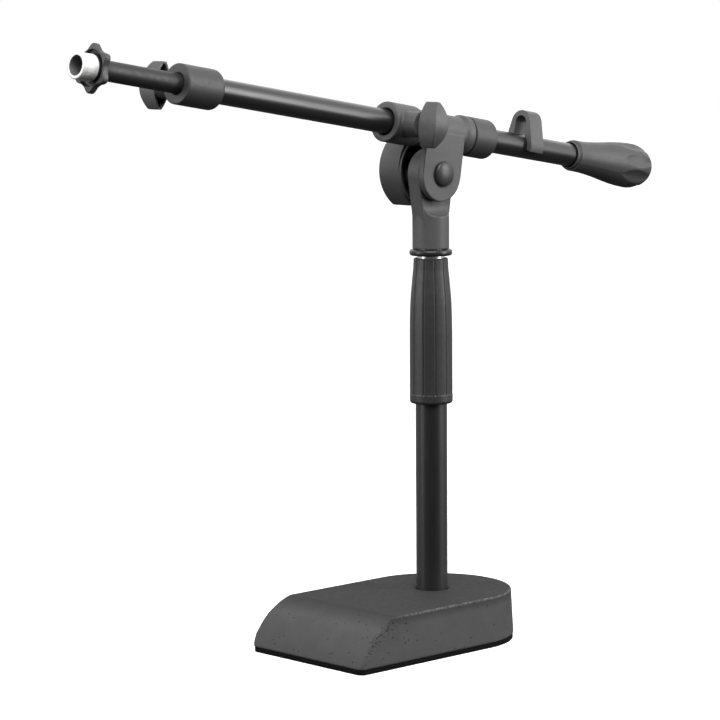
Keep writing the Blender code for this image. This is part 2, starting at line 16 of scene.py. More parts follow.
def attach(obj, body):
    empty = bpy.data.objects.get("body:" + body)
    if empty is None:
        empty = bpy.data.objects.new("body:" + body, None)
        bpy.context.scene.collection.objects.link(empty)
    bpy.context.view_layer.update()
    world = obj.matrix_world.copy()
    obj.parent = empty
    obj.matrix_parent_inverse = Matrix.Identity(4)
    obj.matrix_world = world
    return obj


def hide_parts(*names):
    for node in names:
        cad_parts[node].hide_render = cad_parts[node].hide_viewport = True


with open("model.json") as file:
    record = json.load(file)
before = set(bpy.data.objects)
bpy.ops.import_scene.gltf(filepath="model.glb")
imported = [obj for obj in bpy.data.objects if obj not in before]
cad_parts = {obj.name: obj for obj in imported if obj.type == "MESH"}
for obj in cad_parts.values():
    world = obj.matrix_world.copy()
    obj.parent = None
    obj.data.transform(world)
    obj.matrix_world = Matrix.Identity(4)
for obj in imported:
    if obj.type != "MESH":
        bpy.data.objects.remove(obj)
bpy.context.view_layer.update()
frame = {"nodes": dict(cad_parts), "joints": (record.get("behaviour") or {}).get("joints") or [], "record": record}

MM = 0.001
ROUND = 96  # segments round a turned piece
FINE = 160  # segments round a piece with small detail
VIEW_SIDE = (0.69, 0.72, 0)  # towards the camera, level

# Base
BASE_HALF_TOP = 48.6
BASE_DRAFT = 1.6
BASE_REAR_X = -2.5
BASE_FRONT_X = 109.8
BASE_TOP_Z = 32.0
BASE_FOOT_Z = 2.9
NOSE_RADIUS = 44.0
NOSE_TOP_X = 78.0
NOSE_TOP_SLOPE = math.radians(13.0)
NOSE_CENTRE_X = NOSE_TOP_X - NOSE_RADIUS * math.sin(NOSE_TOP_SLOPE)
NOSE_CENTRE_Z = BASE_TOP_Z - NOSE_RADIUS * math.cos(NOSE_TOP_SLOPE)

# Column
POST_R = 10.0
GRIP_PANELS = 11
GRIP_TURN = math.radians(57)
GROOVE_FOOT = 156.2  # where the grip's grooves end, above its flange
NECK_R = 11.6
NECK_TOP_Z = 276.0
EAR_R = 15.4
EAR_HALF = 5.2
SCOOP_R = 6.4
BOLT_HOLE_R = 4.3

# Boom
BOOM_OFFSET = 26.9
CLAMP_R = 12.6
CLAMP_BORE_R = 9.3
CLAMP_SCREW_AT = 33.6
SCREW_HOLE_R = 3.2
CLAMP_BOSS_END = 24.0
BOSS_R = 8.0
CLAMP_BOSS_SHORT = 1.6  # how far the boss stops short, which leaves a dark gap at its knob
SLEEVE_R = 12.1
SLEEVE_REAR = 185.7
SLEEVE_FRONT = 213.7
SLEEVE_SCREW_AT = 202.5
SLEEVE_BOSS_END = 25.5
SLEEVE_BOSS_SHORT = 0.3
TUBE_R = 7.55
INNER_R = 6.0
TIP_R = 7.94
TIP_FACE = 288.1
TIP_BORE_R = 5.8
THREAD_START = 277.9
THREAD_PITCH = 25.4 / 27
NUT_REAR = 273.4
NUT_FRONT = 277.6
NUT_BORE_R = 8.05
FLUTES = 8
WEIGHT_R = 14.8
WEIGHT_BULGE = -183.0
WEIGHT_END = -202.1
FLUTE_START = -166.5
CLIP_REAR = -87.6
CLIP_FRONT = -76.0
CLIP_RISE = 15.0
CLIP_LIP = math.radians(-18)
TENSION_TURN = math.radians(8.6)
EAR_SHIFT = 0.8
CLAMP_EAR_R = 16.6

# Camera
CAMERA_PLACE = (1.32575, 1.33537, 0.40708)
CAMERA_TURNS = (-133.45, -6.894, -0.367)  # pan, pitch and roll in degrees
CAMERA_SHIFT = (-0.0019, -0.0027)

JOINTS = {joint["name"]: joint for joint in frame["joints"]}
STAND = Matrix.Identity(4)
PIVOT = Matrix.Translation(JOINTS["boom_tilt"]["pos_m"])


def boom_frame():
    along = Vector(JOINTS["boom_roll"]["axis"]).normalized()
    across = Vector((0, 1, 0))
    turn = Matrix((across.cross(along), across, along)).transposed()
    return Matrix.LocRotScale(Vector(JOINTS["boom_roll"]["pos_m"]), turn.to_quaternion(), None)


BOOM = boom_frame()
ALONG_Y = Matrix.Rotation(-math.pi / 2, 4, "X")


# ---------------------------------------------------------------- materials


class Graph:
    """The nodes of a material or of the world, and short ways to add to them."""

    def __init__(self, tree):
        self.nodes = tree.nodes
        self.links = tree.links

    def link(self, output, entry):
        self.links.new(output, entry)

    def ramp(self, value, low, high, start=0.0, end=1.0, shape="LINEAR"):
        """Maps a value from start..end to low..high."""
        node = self.nodes.new("ShaderNodeMapRange")
        node.interpolation_type = shape
        limits = (("From Min", start), ("From Max", end), ("To Min", low), ("To Max", high))
        for entry, number in limits:
            node.inputs[entry].default_value = number
        self.link(value, node.inputs["Value"])
        return node.outputs["Result"]

    def both(self, first, second):
        """The product of two values or masks."""
        product = self.nodes.new("ShaderNodeMath")
        product.operation = "MULTIPLY"
        self.link(first, product.inputs[0])
        self.link(second, product.inputs[1])
        return product.outputs["Value"]

    def vector(self, operation, value, other=(0, 0, 0)):
        """The outputs of a vector operation between a value and a constant."""
        node = self.nodes.new("ShaderNodeVectorMath")
        node.operation = operation
        node.inputs[1].default_value = other
        self.link(value, node.inputs[0])
        return node.outputs

    def part(self, vector, name):
        split = self.nodes.new("ShaderNodeSeparateXYZ")
        self.link(vector, split.inputs["Vector"])
        return split.outputs[name]


class Finish(Graph):
    """A node material with grain in its colour, roughness and relief, in object space."""

    def __init__(self, name, colour, roughness, metallic=0.0, coat=0.0):
        self.material = bpy.data.materials.new(name)
        self.material.use_nodes = True
        super().__init__(self.material.node_tree)
        self.shader = self.nodes["Principled BSDF"]
        self.colour = colour
        self.roughness = roughness
        self.shader.inputs["Metallic"].default_value = metallic
        self.shader.inputs["Coat Weight"].default_value = coat
        self.place = self.nodes.new("ShaderNodeTexCoord").outputs["Object"]
        self.relief = None

    def noise(self, size_mm, detail=3.0, stretch=(1, 1, 1)):
        """Noise whose blotches are about size_mm across."""
        scale = self.nodes.new("ShaderNodeMapping")
        scale.inputs["Scale"].default_value = [1 / (MM * size_mm * s) for s in stretch]
        self.link(self.place, scale.inputs["Vector"])
        noise = self.nodes.new("ShaderNodeTexNoise")
        noise.inputs["Scale"].default_value = 1.0
        noise.inputs["Detail"].default_value = detail
        self.link(scale.outputs["Vector"], noise.inputs["Vector"])
        return noise.outputs["Fac"]

    def band(self, value, start_mm, end_mm, low=0.0, high=1.0):
        """Maps a length from start_mm..end_mm to low..high."""
        return self.ramp(value, low, high, start_mm * MM, end_mm * MM)

    def tint(self, value, spread):
        """Varies the colour's brightness by spread each way."""
        mix = self.nodes.new("ShaderNodeMix")
        mix.data_type = "RGBA"
        mix.inputs["A"].default_value = [c * (1 - spread) for c in self.colour] + [1]
        mix.inputs["B"].default_value = [min(1, c * (1 + spread)) for c in self.colour] + [1]
        self.link(value, mix.inputs["Factor"])
        self.colour_out = mix.outputs["Result"]
        self.link(self.colour_out, self.shader.inputs["Base Color"])

    def blend_colour(self, mask, colour):
        """Lays another colour over the tint where the mask is 1."""
        mix = self.nodes.new("ShaderNodeMix")
        mix.data_type = "RGBA"
        mix.inputs["B"].default_value = [*colour, 1]
        self.link(mask, mix.inputs["Factor"])
        self.link(self.colour_out, mix.inputs["A"])
        self.colour_out = mix.outputs["Result"]
        self.link(self.colour_out, self.shader.inputs["Base Color"])

    def sheen_of(self, value, spread):
        low, high = self.roughness - spread, self.roughness + spread
        self.link(self.ramp(value, low, high, 0.3, 0.7), self.shader.inputs["Roughness"])

    def bump(self, value, depth_mm, strength=1.0, invert=False):
        """Adds relief on top of what is there already."""
        bump = self.nodes.new("ShaderNodeBump")
        bump.invert = invert
        bump.inputs["Strength"].default_value = strength
        bump.inputs["Distance"].default_value = depth_mm * MM
        self.link(value, bump.inputs["Height"])
        if self.relief is not None:
            self.link(self.relief, bump.inputs["Normal"])
        self.relief = bump.outputs["Normal"]
        self.link(self.relief, self.shader.inputs["Normal"])

    def axis(self, name):
        return self.part(self.place, name)

    def beside_nose(self):
        """A mask of the base's sides, within a few millimetres of the nose's arc."""
        flat = self.vector("MULTIPLY", self.place, (1, 0, 1))["Vector"]
        centre = (NOSE_CENTRE_X * MM, 0, NOSE_CENTRE_Z * MM)
        reach = self.vector("DISTANCE", flat, centre)["Value"]
        near_arc = self.band(reach, NOSE_RADIUS - 8, NOSE_RADIUS - 4)
        forward = self.band(self.axis("X"), NOSE_TOP_X - 4, NOSE_TOP_X + 4)
        side = self.nodes.new("ShaderNodeMath")
        side.operation = "ABSOLUTE"
        self.link(self.axis("Y"), side.inputs[0])
        outside = self.band(side.outputs["Value"], BASE_HALF_TOP - 0.8, BASE_HALF_TOP - 0.2)
        above_foot = self.band(self.axis("Z"), 8, 14)
        return self.both(self.both(near_arc, forward), self.both(outside, above_foot))

    def top_edge(self):
        """A mask of the rim of the base's top, from the nose back and round the rear end."""
        from_centre = self.vector("ADD", self.place, (-BASE_REAR_X * MM, 0, 0))["Vector"]
        behind = self.vector("MINIMUM", from_centre, (0, 1, 0))["Vector"]
        reach = self.vector("LENGTH", behind)["Value"]
        rim = self.band(reach, BASE_HALF_TOP - 1.0, BASE_HALF_TOP - 0.5)
        top = self.band(self.axis("Z"), BASE_TOP_Z - 1.6, BASE_TOP_Z - 1.0)
        behind_nose = self.band(self.axis("X"), NOSE_TOP_X - 8, NOSE_TOP_X + 4, 1.0, 0.0)
        return self.both(self.both(rim, top), behind_nose)

    def pits(self, spacing_mm, share):
        """A mask of scattered small pits."""
        scale = self.nodes.new("ShaderNodeMapping")
        scale.inputs["Scale"].default_value = [1 / (MM * spacing_mm)] * 3
        self.link(self.place, scale.inputs["Vector"])
        cells = self.nodes.new("ShaderNodeTexVoronoi")
        cells.inputs["Scale"].default_value = 1.0
        self.link(scale.outputs["Vector"], cells.inputs["Vector"])
        return self.ramp(cells.outputs["Distance"], 1.0, 0.0, share * 0.4, share)


def plain_finish(name, colour, roughness, grain_mm, relief_mm, metallic=0.0, spread=0.12):
    """A moulded, painted or plated surface with one grain size."""
    finish = Finish(name, colour, roughness, metallic)
    finish.tint(finish.noise(grain_mm * 12), spread)
    finish.sheen_of(finish.noise(grain_mm * 5), 0.05)
    if relief_mm:
        finish.bump(finish.noise(grain_mm, 2.0), relief_mm)
    return finish.material


def cast_paint():
    """Matte black paint on a rough casting: pits, dents beside the nose, a chipped top edge. The pits and dents
    are darkened with painted shade, the top is painted darker as painted shade, and the chipped top edge is also
    lightened as a painted highlight.
    """
    finish = Finish("cast_paint", (0.078, 0.078, 0.08), 0.8)
    finish.shader.inputs["Specular IOR Level"].default_value = 0.05
    finish.tint(finish.noise(14, 5), 0.16)
    finish.sheen_of(finish.noise(3), 0.07)
    # Painted shade: the base is painted darker towards its top, over its top 6.5 mm, standing in for less light
    # falling there.
    painted_dark_top = finish.band(finish.axis("Z"), BASE_TOP_Z - 6.5, BASE_TOP_Z + 0.2)
    finish.blend_colour(painted_dark_top, (0.038, 0.038, 0.039))
    pits = finish.pits(4.2, 0.13)
    # The pits' dark colour is painted shade in the hollows; their relief is the inverted bump below.
    finish.blend_colour(pits, (0.014, 0.014, 0.014))
    lumps = finish.ramp(finish.noise(1.9, 2), 0.0, 1.0, 0.5, 0.66)
    dents = finish.both(finish.beside_nose(), lumps)
    # The dents' dark colour is painted shade in the hollows; their relief is the inverted bump below.
    finish.blend_colour(finish.ramp(dents, 0.0, 0.5), (0.03, 0.03, 0.03))
    flakes = finish.ramp(finish.noise(2.2, 5), 0.15, 0.85, 0.4, 0.6)
    # Paint chips along the top edge, lightened as well as a painted highlight where the edge catches the light.
    chips_and_highlight = finish.both(finish.top_edge(), flakes)
    finish.blend_colour(chips_and_highlight, (0.13, 0.13, 0.13))
    finish.bump(finish.noise(9, 4), 0.45, 0.5)
    finish.bump(finish.noise(0.9, 3), 0.10, 0.6)
    finish.bump(pits, 0.3, 1.0, invert=True)
    finish.bump(dents, 0.45, 1.0, invert=True)
    return finish.material


def tube_paint():
    """Smooth black paint on drawn tube, faintly drawn out along its length."""
    finish = Finish("tube_paint", (0.0105, 0.0105, 0.011), 0.37, coat=0.45)
    finish.shader.inputs["Coat Roughness"].default_value = 0.3
    finish.tint(finish.noise(8), 0.15)
    finish.sheen_of(finish.noise(2.5, 3, (1, 1, 14)), 0.05)
    finish.bump(finish.noise(0.7, 2, (1, 1, 6)), 0.012, 0.5)
    return finish.material


def pad_rubber():
    """Soft rubber that hardly reflects."""
    finish = Finish("pad_rubber", (0.005, 0.005, 0.005), 0.9)
    finish.shader.inputs["Specular IOR Level"].default_value = 0.1
    finish.tint(finish.noise(10), 0.12)
    finish.sheen_of(finish.noise(4), 0.05)
    finish.bump(finish.noise(0.8, 2), 0.05)
    return finish.material


def nickel():
    """Bright plating on the thread, painted dark down the tip's bore and under the lock nut as painted shade."""
    finish = Finish("bright_nickel", (0.8, 0.8, 0.79), 0.5, 0.3)
    finish.tint(finish.noise(6), 0.04)
    finish.sheen_of(finish.noise(2.5), 0.05)
    flat = finish.vector("MULTIPLY", finish.place, (1, 1, 0))["Vector"]
    reach = finish.vector("LENGTH", flat)["Value"]
    bore = finish.band(reach, TIP_BORE_R + 0.05, TIP_BORE_R + 0.2, 1.0, 0.0)
    # Painted shade: the bore of the tip is painted dark grey.
    finish.blend_colour(bore, (0.17, 0.17, 0.17))
    # Painted shade: the adapter is painted near black behind the thread, inside the lock nut's dish.
    hub = finish.band(finish.axis("Z"), THREAD_START - 0.7, THREAD_START - 0.1, 1.0, 0.0)
    finish.blend_colour(hub, (0.03, 0.03, 0.03))
    return finish.material


# Slots and single pieces: colour, roughness, grain, relief and what else differs.
MATERIALS = {
    "cast_base": cast_paint(),
    "rubber_pad": pad_rubber(),
    "black_tube": tube_paint(),
    "nickel_thread": nickel(),
    "chrome_tube": plain_finish(
        "polished_chrome", (0.95, 0.95, 0.96), 0.3, 1.5, 0.0, metallic=0.75, spread=0.03
    ),
    "zinc_steel": plain_finish("zinc_plate", (0.42, 0.43, 0.45), 0.36, 0.7, 0.01, metallic=1.0),
    "brass": plain_finish("plain_brass", (0.66, 0.47, 0.2), 0.34, 0.8, 0.01, metallic=1.0),
}
PLAIN_BLACKS = {
    "bolt_paint": ("bolt_paint", (0.036, 0.036, 0.037), 0.4, 0.6, 0.01),
    "thin_tube_paint": ("thin_tube_paint", (0.014, 0.014, 0.0145), 0.5, 0.7, 0.008),
    "sleeve_plastic": ("sleeve_black", (0.04, 0.04, 0.041), 0.5, 0.35, 0.018),
    "stop_rubber": ("stop_rubber", (0.016, 0.016, 0.016), 0.32, 0.6, 0.01),
    "clamp_casting": ("clamp_powder_coat", (0.066, 0.066, 0.068), 0.52, 0.45, 0.03),
    # Near black: the tilt disc's own dark grey, and painted shade for the liner in the clamp's mouth.
    "nylon": ("nylon_dark_and_painted_shade", (0.012, 0.012, 0.012), 0.6, 0.9, 0.015),
    "black_plastic": ("moulded_black", (0.046, 0.046, 0.047), 0.5, 0.35, 0.018),
    "grip_plastic": ("grip_black", (0.026, 0.026, 0.027), 0.42, 0.3, 0.015),
    "knob_plastic": ("knob_black", (0.066, 0.066, 0.068), 0.47, 0.35, 0.018),
    "counterweight_plastic": ("counterweight_black", (0.056, 0.056, 0.057), 0.5, 0.3, 0.018),
}
MATERIALS.update({slot: plain_finish(*values) for slot, values in PLAIN_BLACKS.items()})


# ---------------------------------------------------------------- mesh tools


def arc(centre, radius, start, end, steps):
    turn = (end - start) / steps
    angles = [start + turn * i for i in range(steps + 1)]
    return [(centre[0] + radius * math.cos(a), centre[1] + radius * math.sin(a)) for a in angles]


def rounded(profile, radius, closed=False, steps=4):
    """Rounds a profile's corners, each by at most 45% of its shorter side."""
    points = [Vector(point) for point in profile]
    count = len(points)
    smooth = []
    for i, corner in enumerate(points):
        if not closed and i in (0, count - 1):
            smooth.append(tuple(corner))
            continue
        before = points[i - 1] - corner
        after = points[(i + 1) % count] - corner
        reach = min(radius, 0.45 * before.length, 0.45 * after.length)
        start = corner + before.normalized() * reach
        end = corner + after.normalized() * reach
        for k in range(steps + 1):
            t = k / steps
            smooth.append(tuple(start * (1 - t) ** 2 + corner * 2 * t * (1 - t) + end * t * t))
    return smooth


def polar(radius, turn, height):
    return (radius * math.cos(turn), radius * math.sin(turn), height)


def all_round(count):
    return [2 * math.pi * i / count for i in range(count)]


def skin(rows, closed=False, capped=False):
    """A bmesh over rows of points. A row is a closed loop, or one point where the skin closes."""
    shape = bmesh.new()
    made = [[shape.verts.new(point) for point in row] for row in rows]
    pairs = list(zip(made, made[1:]))
    if closed:
        pairs.append((made[-1], made[0]))
    for low, high in pairs:
        around = max(len(low), len(high))
        for i in range(around):
            j = (i + 1) % around
            corners = [low[i % len(low)], low[j % len(low)]]
            corners += [high[j % len(high)], high[i % len(high)]]
            shape.faces.new(list(dict.fromkeys(corners)))
    if capped:
        shape.faces.new(made[0])
        shape.faces.new(made[-1])
    bmesh.ops.recalc_face_normals(shape, faces=shape.faces)
    return shape


def lathe(profile, closed=False, segments=ROUND):
    """Turns (radius, height) points about Z."""
    rows = []
    for radius, height in profile:
        if radius < 1e-6:
            rows.append([(0, 0, height)])
        else:
            rows.append([polar(radius, turn, height) for turn in all_round(segments)])
    return skin(rows, closed)


def cylinder(radius, low, high, segments=ROUND):
    return lathe([(0, low), (radius, low), (radius, high), (0, high)], segments=segments)


def extruded(outline, low, high):
    """An outline of (x, z) points made thick along Y."""
    return skin([[(x, y, z) for x, z in outline] for y in (low, high)], capped=True)


def moved(shape, matrix):
    shape.transform(matrix)
    return shape


def joined(*shapes):
    """Several shapes in one bmesh."""
    mesh = bpy.data.meshes.new("joined")
    whole = bmesh.new()
    for shape in shapes:
        shape.to_mesh(mesh)
        shape.free()
        whole.from_mesh(mesh)
    bpy.data.meshes.remove(mesh)
    return whole


def object_of(shape, name):
    mesh = bpy.data.meshes.new(name)
    shape.to_mesh(mesh)
    shape.free()
    made = bpy.data.objects.new(name, mesh)
    bpy.context.scene.collection.objects.link(made)
    return made


def settled(made):
    """Replaces an object's modifiers by their result, as a bmesh, and removes the object."""
    graph = bpy.context.evaluated_depsgraph_get()
    shape = bmesh.new()
    shape.from_object(made, graph)
    bpy.data.objects.remove(made, do_unlink=True)
    return shape


def combined(start, steps):
    """Applies (operation, shape) Booleans in turn."""
    made = object_of(start, "blank")
    tools = []
    for operation, shape in steps:
        tool = object_of(shape, "tool")
        tools.append(tool)
        modifier = made.modifiers.new(operation, "BOOLEAN")
        modifier.operation = operation
        modifier.object = tool
    shape = settled(made)
    for tool in tools:
        bpy.data.objects.remove(tool, do_unlink=True)
    return shape


def cast(shape, voxel=0.45, rounds=9, keep=0.4):
    """Melts a hard-edged solid into one with soft cast edges and fillets, in millimetres."""
    made = object_of(shape, "blank")
    remesh = made.modifiers.new("remesh", "REMESH")
    remesh.mode = "VOXEL"
    remesh.voxel_size = voxel
    smooth = made.modifiers.new("smooth", "SMOOTH")
    smooth.factor = 0.5
    smooth.iterations = rounds
    thin = made.modifiers.new("thin", "DECIMATE")
    thin.ratio = keep
    return settled(made)


def build(name, shape, place, body, slot, nodes, bevel=0.0, segments=3, finish=None):
    """Makes a piece of a shape in millimetres, for some CAD nodes, that moves with a body."""
    shape.transform(Matrix.Scale(MM, 4))
    piece = object_of(shape, name)
    piece.matrix_world = place
    piece.data.shade_smooth()
    piece.data.materials.append(MATERIALS[finish or slot])
    if bevel:
        edges = piece.modifiers.new("edges", "BEVEL")
        edges.width = bevel * MM
        edges.segments = segments
        edges.limit_method = "ANGLE"
        edges.angle_limit = math.radians(30)
        edges.harden_normals = True
    flat = piece.modifiers.new("flat_faces", "WEIGHTED_NORMAL")
    flat.keep_sharp = True
    flat.weight = 90
    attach(piece, body)
    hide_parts(*nodes)
    return piece


# ---------------------------------------------------------------- base


def base_outline(half, front, z, corner=4.0):
    points = arc((front - corner, corner - half), corner, -math.pi / 2, 0, 8)
    points += arc((front - corner, half - corner), corner, 0, math.pi / 2, 8)
    points += arc((BASE_REAR_X, 0), half, math.pi / 2, 3 * math.pi / 2, 90)
    return [(x, y, z) for x, y in points]


def nose_outline():
    """The base's side view: a flat top that rolls over into the sloping front."""
    low = BASE_FOOT_Z - 1
    foot = math.asin((low - NOSE_CENTRE_Z) / NOSE_RADIUS)
    top = math.pi / 2 - NOSE_TOP_SLOPE
    nose = arc((NOSE_CENTRE_X, NOSE_CENTRE_Z), NOSE_RADIUS, foot, top, 36)
    roll = [(NOSE_TOP_X - 9, BASE_TOP_Z + 1.6), (NOSE_TOP_X - 9.1, BASE_TOP_Z + 2)]
    return [(-70, low)] + nose + roll + [(-70, BASE_TOP_Z + 2)]


def make_base():
    foot_half = BASE_HALF_TOP + BASE_DRAFT
    rows = [
        base_outline(foot_half, BASE_FRONT_X, BASE_FOOT_Z),
        base_outline(BASE_HALF_TOP, BASE_FRONT_X, BASE_TOP_Z),
    ]
    block = skin(rows, capped=True)
    post_hole, bolt_hole, recess = 10.3, 4.3, 13
    bore = [(0, 40), (post_hole, 40), (post_hole, 20), (bolt_hole, 20), (bolt_hole, 11.7)]
    bore += [(recess, 11.7), (recess, -5), (0, -5)]
    side_view = extruded(nose_outline(), -70, 70)
    casting = combined(block, [("INTERSECT", side_view), ("DIFFERENCE", lathe(bore))])
    build("base", cast(casting, 0.7, 6, 0.35), STAND, "stand", "cast_base", ["base_casting"])
    inset = 0.5
    rows = [base_outline(foot_half - inset, BASE_FRONT_X - inset, z) for z in (0.0, 2.75)]
    pad = skin(rows, capped=True)
    nodes = ["base_pad"]
    build("foot_pad", pad, STAND, "stand", "rubber_pad", nodes, bevel=0.2, segments=2)


# ---------------------------------------------------------------- column


def make_post():
    profile = [(POST_R, 20.3), (POST_R, 221), (8.8, 221), (8.8, 20.3)]
    post = lathe(rounded(profile, 0.4, True), True)
    build("post", post, STAND, "stand", "black_tube", ["post_tube"])


def grip_radius(turn, radius, groove):
    """Flat panels between narrow grooves."""
    pitch = 2 * math.pi / GRIP_PANELS
    across = ((turn / pitch + 0.5) % 1.0 - 0.5) * pitch
    flat = 0.55 * radius * (1 - math.cos(pitch / 2) / math.cos(pitch / 2 - abs(across)))
    from_groove = abs(across) * radius / 0.42
    return radius - flat * groove - 0.6 * groove * math.exp(-from_groove * from_groove)


def make_grip():
    """A moulded sleeve, tapered at the top, with a plain flange at the foot."""
    outside = [
        (9.9, 243.0),
        (11.0, 242.7),
        (11.3, 236),
        (11.85, 231),
        (12.3, 226),
        (12.85, 220),
        (13.25, 214),
        (13.5, 206),
        (13.65, 196),
        (13.7, 157.4),
        (13.7, 156.6),
        (13.6, 156.0),
        (13.6, 152.4),
        (13.0, 151.3),
        (12.2, 151.0),
    ]
    inside = [(11.6, 151.2), (11.6, 208), (10.6, 212), (10.6, 227), (9.2, 239), (8.95, 242.7)]
    pitch = 2 * math.pi / GRIP_PANELS
    share = [0, 0.012, 0.024, 0.036, 0.055, 0.08, 0.12, 0.2, 0.35, 0.5]
    share += [1 - s for s in share[-2:0:-1]]
    turns = [pitch * (panel + s) for panel in range(GRIP_PANELS) for s in share]
    rows = []
    for radius, height in rounded(outside + inside, 0.5, True, 3):
        outer = radius > 11.65 or height > 229
        above_flange = min(1, max(0, height - GROOVE_FOOT)) if outer else 0
        groove = above_flange * min(1, max(0, (radius - 8.95) / 1.5))
        rows.append([polar(grip_radius(a, radius, groove), a + GRIP_TURN, height) for a in turns])
    sleeve = skin(rows, True)
    nodes = ["column_clutch_grip"]
    build("clutch_grip_sleeve", sleeve, STAND, "clutch_grip", "grip_plastic", nodes)


def make_slide_tube():
    profile = [(8.5, 56), (8.5, 262), (7.2, 262), (7.2, 56)]
    tube = lathe(rounded(profile, 0.3, True), True)
    build("inner_column", tube, STAND, "column", "chrome_tube", ["column_slide_tube"])
    outside = [(8.9, 244.5), (13.5, 244.5), (13.5, 248.5), (8.9, 248.5)]
    stop = lathe(rounded(outside, 2.0, True, 8), True)
    nodes = ["column_stop_ring"]
    build("stop_ring", stop, STAND, "column", "black_plastic", nodes, finish="stop_rubber")


def ear_outline():
    """A disc about the pivot, with sides tangent to it that run down into the neck."""
    pivot_z = PIVOT.translation.z / MM
    foot_x, foot_z = NECK_R - 1.4, 261.0
    reach = math.hypot(foot_x, pivot_z - foot_z)
    touch = math.atan2(foot_z - pivot_z, foot_x) + math.acos(EAR_R / reach)
    disc = arc((0, pivot_z), EAR_R, touch, math.pi - touch, 72)
    return disc + [(-foot_x, foot_z), (foot_x, foot_z)]


def make_yoke():
    pivot_z = PIVOT.translation.z / MM
    outside = [(0, NECK_TOP_Z), (NECK_R, NECK_TOP_Z), (NECK_R, 248.8)]
    neck = lathe(outside + [(8.8, 248.8), (8.8, 263), (0, 263)])
    steps = [("UNION", extruded(ear_outline(), -EAR_HALF, EAR_HALF))]
    lay = Matrix.Rotation(math.pi / 2, 4, "Y")
    for side in (-1, 1):
        place = Matrix.Translation((0, side * (EAR_HALF + SCOOP_R), NECK_TOP_Z))
        steps.append(("DIFFERENCE", moved(cylinder(SCOOP_R, -20, 20), place @ lay)))
    hole = moved(cylinder(BOLT_HOLE_R, -20, 20), Matrix.Translation((0, 0, pivot_z)) @ ALONG_Y)
    steps.append(("DIFFERENCE", hole))
    yoke = cast(combined(neck, steps))
    build("yoke", yoke, STAND, "column", "clamp_casting", ["swivel_yoke"])
    disc = lathe(rounded([(4.3, 5.5), (13, 5.5), (13, 6.5), (4.3, 6.5)], 0.2, True), True)
    build("tilt_disc", moved(disc, ALONG_Y), PIVOT, "column", "nylon", ["tilt_friction_disc"])


# ---------------------------------------------------------------- knobs


def lens(half_wide, half_tall, end_half, corner, steps=14):
    """A pointed oval with rounded cut-off ends, tall along its second axis."""
    bulge = half_wide - end_half
    radius = (half_tall**2 + bulge**2) / (2 * bulge)
    spread = math.asin(half_tall / radius)
    right = arc((half_wide - radius, 0), radius, -spread, spread, steps)
    outline = right + [(-x, -z) for x, z in right]
    smooth = rounded(outline, corner, True, 4)
    pairs = zip(smooth, smooth[-1:] + smooth)
    return [point for point, last in pairs if (Vector(point) - Vector(last)).length > 1e-4]


def shrunk(outline, step):
    """Moves each point of an outline inward by step, along the outline's normal."""
    count = len(outline)
    moved_in = []
    for i in range(count):
        along = Vector(outline[(i + 1) % count]) - Vector(outline[i - 1])
        inward = Vector((-along.y, along.x)).normalized()
        moved_in.append(Vector(outline[i]) + inward * step)
    return moved_in


def knob_shape(
    outline, back, *, near, face, crown, wall, edge, hub_r, hub_near, hole_r, rim_deep=0.0
):
    """A hollow-backed knob from Y = near to its crowned face, with its outline in X and Z.

    Its rear rim_deep has the outline back, which is the same as outline for a knob with no step.
    """
    half_tall = max(z for _, z in outline)

    def row(points, height, crowned=False):
        return [(x, height - crowned * crown * (z / half_tall) ** 2, z) for x, z in points]

    cavity = shrunk(back, wall)
    floor = face - 2.4
    shallow = [point.lerp(Vector((0, 0)), 0.5) for point in cavity]
    rows = [[(0, floor - 0.1, 0)], row(shallow, floor, True)]
    rows += [row(cavity, floor - 0.3, True), row(cavity, floor - 0.8, True)]
    rows += [row(cavity, near + 0.5), row(cavity, near + 0.2)]
    rows += [row(shrunk(back, wall - 0.25), near), row(shrunk(back, 0.3), near)]
    rows += [row(shrunk(back, 0.08), near + 0.1), row(back, near + 0.4)]
    if rim_deep:
        rows += [row(back, near + rim_deep - 0.1), row(shrunk(back, 0.05), near + rim_deep)]
        rows += [row(shrunk(outline, 0.25), near + rim_deep), row(outline, near + rim_deep + 0.3)]
    rows.append(row(outline, face - edge - 0.4, True))
    for k in range(5):
        turn = math.pi / 2 * k / 4
        height = face - edge * (1 - math.sin(turn))
        rows.append(row(shrunk(outline, edge * (1 - math.cos(turn))), height, True))
    top = shrunk(outline, edge)
    for share in (0.12, 0.35, 0.6, 0.85):
        rows.append(row([Vector(p).lerp(Vector((0, 0)), share) for p in top], face, True))
    rows.append([(0, face, 0)])
    shell = skin(rows)
    hub = [(hole_r, face - 1.2), (hole_r, hub_near), (hub_r, hub_near), (hub_r, face - 1.5)]
    return joined(shell, moved(lathe(rounded(hub, 0.4)), ALONG_Y))


def make_wing_knob(name, at, side, boss_end, body, node):
    """A wing knob whose depth runs away from the tube, at a place along the boom."""
    outline = lens(5.9, 14.2, 1.4, 0.5)
    near = boss_end + 0.5
    knob = knob_shape(
        outline,
        outline,
        near=near,
        face=near + 14.7,
        crown=5.0,
        wall=1.4,
        edge=0.7,
        hub_r=4.6,
        hub_near=near + 0.4,
        hole_r=3.2,
    )
    # The knob's tall axis is X in the boom's frame.
    swap = Matrix(((0, 0, 1, 0), (0, side, 0, 0), (1, 0, 0, at), (0, 0, 0, 1)))
    shape = moved(knob, swap)
    bmesh.ops.recalc_face_normals(shape, faces=shape.faces)
    build(name, shape, BOOM, body, "knob_plastic", [node])


def make_wing_knobs():
    at, end = CLAMP_SCREW_AT, CLAMP_BOSS_END
    make_wing_knob("holder_wing_knob", at, 1, end, "holder_wing", "clamp_wing_knob")
    at, end = SLEEVE_SCREW_AT, SLEEVE_BOSS_END
    make_wing_knob("extension_knob", at, -1, end, "extension_wing", "extension_wing_knob")


